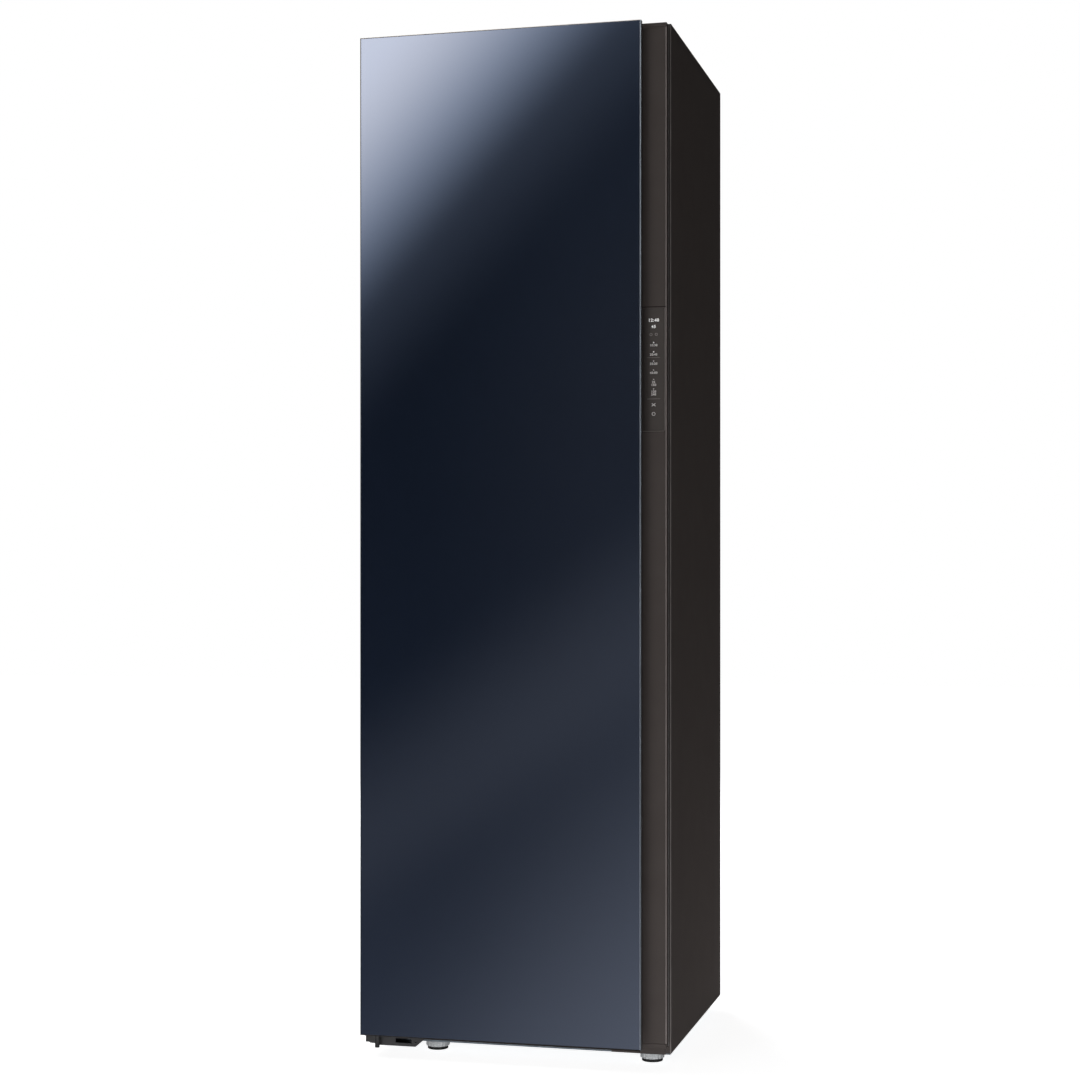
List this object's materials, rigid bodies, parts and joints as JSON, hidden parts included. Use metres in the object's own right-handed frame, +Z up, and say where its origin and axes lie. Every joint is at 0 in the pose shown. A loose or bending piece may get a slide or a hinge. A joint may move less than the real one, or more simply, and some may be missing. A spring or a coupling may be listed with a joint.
{
  "type": "clothes care steam cabinet",
  "caption": "Tall steam care cabinet for garments with a full-height glass door on pivot hinges, a grip strip with touch panel, hanger rail, fans, water tanks and levelling feet.",
  "frame": {"origin": "on the floor, under the middle of the cabinet's bounding box", "axes": "+Z up, the glass door faces -Y, +X to the right seen from the front"},
  "size_m": [0.595, 0.632, 1.96],
  "materials": {
    "navy_glass": "polished",
    "pale_trim": "satin",
    "dark_trim": "satin",
    "bright_trim": "satin",
    "brown_paint": "satin",
    "bracket_paint": "satin",
    "brown_plastic": "satin",
    "black_plastic": "satin",
    "panel_plastic": "satin",
    "grey_plastic": "matte",
    "white_plastic": "matte",
    "galvanised_steel": "satin",
    "pale_steel": "satin",
    "compressor_paint": "satin",
    "rubber": "matte",
    "insulation": "matte",
    "tank_plastic": "gloss",
    "cast_aluminium": "matte",
    "fin_aluminium": "satin"
  },
  "bodies": {
    "cabinet": {"side_panel_left": "brown_paint", "side_panel_right": "brown_paint", "top_panel": "brown_paint", "back_panel": "galvanised_steel", "rear_service_cover": "galvanised_steel", "base_pan": "galvanised_steel", "skirt_cover": "brown_plastic", "front_frame": "grey_plastic", "hinge_bracket_upper": "bracket_paint", "hinge_bracket_lower": "bracket_paint", "chamber_wall_left": "white_plastic", "chamber_wall_right": "white_plastic", "chamber_wall_rear": "white_plastic", "chamber_floor": "white_plastic", "chamber_ceiling": "white_plastic", "lamp_lens": "white_plastic", "insulation_jacket": "insulation", "rear_duct": "grey_plastic", "plenum_cover": "grey_plastic", "hanger_rail": "pale_steel", "jet_motor": "pale_steel", "tank_bay": "white_plastic", "compressor": "compressor_paint", "coil_pack": "fin_aluminium", "blower_housing": "grey_plastic", "blower_motor": "pale_steel", "steam_generator": "cast_aluminium", "water_pump": "black_plastic"},
    "door": {"door_glass": "navy_glass", "door_trim_left": "dark_trim", "door_trim_right": "bright_trim", "door_trim_bottom": "dark_trim", "door_trim_top": "pale_trim", "door_shell": "brown_paint", "door_foam": "insulation", "door_grip_strip": "brown_paint", "control_panel": "panel_plastic", "door_plug_frame": "grey_plastic", "door_cap_bottom": "brown_plastic", "door_cap_top": "brown_plastic", "door_bush_lower": "white_plastic", "door_bush_upper": "white_plastic", "door_liner": "grey_plastic", "door_gasket": "rubber"},
    "front_left_foot": {"foot_front_left": "pale_steel", "foot_pad_front_left": "rubber"},
    "front_right_foot": {"foot_front_right": "pale_steel", "foot_pad_front_right": "rubber"},
    "rear_left_foot": {"foot_rear_left": "pale_steel", "foot_pad_rear_left": "rubber"},
    "rear_right_foot": {"foot_rear_right": "pale_steel", "foot_pad_rear_right": "rubber"},
    "left_hanger": {"hanger_1": "white_plastic"},
    "middle_hanger": {"hanger_2": "white_plastic"},
    "right_hanger": {"hanger_3": "white_plastic"},
    "filter": {"lint_filter": "grey_plastic"},
    "supply_water_tank": {"supply_tank": "tank_plastic"},
    "drain_water_tank": {"drain_tank": "tank_plastic"},
    "ceiling_fan": {"jet_wheel": "white_plastic"},
    "main_fan": {"blower_wheel": "white_plastic"}
  },
  "joints": [
    {"name": "door_swing", "type": "hinge", "parent": "cabinet", "child": "door", "pos_m": [-0.2705, -0.294, 1], "axis": [0, 0, -1], "range_deg": [0, 110]},
    {"name": "front_left_foot_turn", "type": "hinge", "parent": "cabinet", "child": "front_left_foot", "pos_m": [-0.1735, -0.211, 0.02], "axis": [0, 0, 1], "continuous": true},
    {"name": "front_right_foot_turn", "type": "hinge", "parent": "cabinet", "child": "front_right_foot", "pos_m": [0.2525, -0.211, 0.02], "axis": [0, 0, 1], "continuous": true},
    {"name": "rear_left_foot_turn", "type": "hinge", "parent": "cabinet", "child": "rear_left_foot", "pos_m": [-0.2415, 0.26, 0.02], "axis": [0, 0, 1], "continuous": true},
    {"name": "rear_right_foot_turn", "type": "hinge", "parent": "cabinet", "child": "rear_right_foot", "pos_m": [0.2415, 0.26, 0.02], "axis": [0, 0, 1], "continuous": true},
    {"name": "left_hanger_swing", "type": "hinge", "parent": "cabinet", "child": "left_hanger", "pos_m": [-0.14, -0.01565, 1.7338], "axis": [1, 0, 0], "range_deg": [-12, 12]},
    {"name": "middle_hanger_swing", "type": "hinge", "parent": "cabinet", "child": "middle_hanger", "pos_m": [0, -0.01565, 1.7338], "axis": [1, 0, 0], "range_deg": [-12, 12]},
    {"name": "right_hanger_swing", "type": "hinge", "parent": "cabinet", "child": "right_hanger", "pos_m": [0.14, -0.01565, 1.7338], "axis": [1, 0, 0], "range_deg": [-12, 12]},
    {"name": "filter_lift", "type": "slide", "parent": "cabinet", "child": "filter", "axis": [0, 0, 1], "range_m": [0, 0.12]},
    {"name": "supply_tank_slide", "type": "slide", "parent": "cabinet", "child": "supply_water_tank", "axis": [0, -1, 0], "range_m": [0, 0.03]},
    {"name": "drain_tank_slide", "type": "slide", "parent": "cabinet", "child": "drain_water_tank", "axis": [0, -1, 0], "range_m": [0, 0.03]},
    {"name": "ceiling_fan_spin", "type": "hinge", "parent": "cabinet", "child": "ceiling_fan", "pos_m": [0, 0.01275, 1.84], "axis": [0, 0, 1], "continuous": true},
    {"name": "main_fan_spin", "type": "hinge", "parent": "cabinet", "child": "main_fan", "pos_m": [0.001, 0.26, 0.1723], "axis": [0, 1, 0], "continuous": true}
  ]
}
